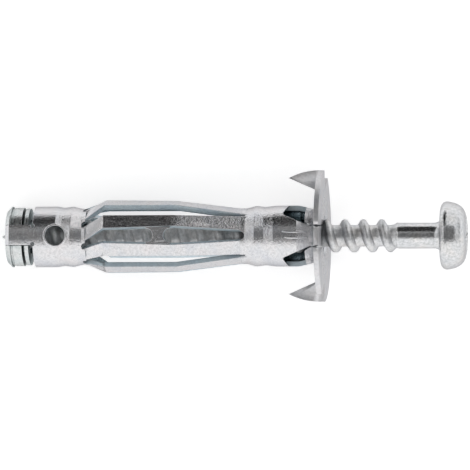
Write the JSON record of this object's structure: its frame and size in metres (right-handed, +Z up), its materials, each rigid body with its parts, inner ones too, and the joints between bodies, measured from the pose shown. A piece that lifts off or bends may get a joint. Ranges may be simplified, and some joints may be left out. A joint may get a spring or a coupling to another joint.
{
  "type": "hollow wall anchor",
  "caption": "Metal hollow wall anchor: a slotted sheet steel sleeve with a pronged flange, an end nut and a coarse pan head screw, lying at rest.",
  "frame": {"origin": "centre of the anchor's bounding box on the surface that it lies on", "axes": "+X from the sleeve's far end towards the screw head, +Z up, away from the surface; the anchor's own axis rises 6.46 degrees towards the head, because it lies on its flange's rim and its far end"},
  "size_m": [0.0632, 0.0178, 0.0175],
  "materials": {
    "sleeve_steel": "bright zinc plated sheet steel",
    "nut_steel": "bright zinc plated turned steel",
    "screw_steel": "bright zinc plated steel"
  },
  "bodies": {
    "anchor": {"expansion_sleeve": "sleeve_steel", "threaded_nut": "nut_steel"},
    "screw": {"screw": "screw_steel"}
  },
  "joints": [
    {"name": "screw_travel", "type": "slide", "parent": "anchor", "child": "screw", "axis": [0.9936, 0, 0.1125], "range_m": [-0.0157, 0.0058]}
  ]
}
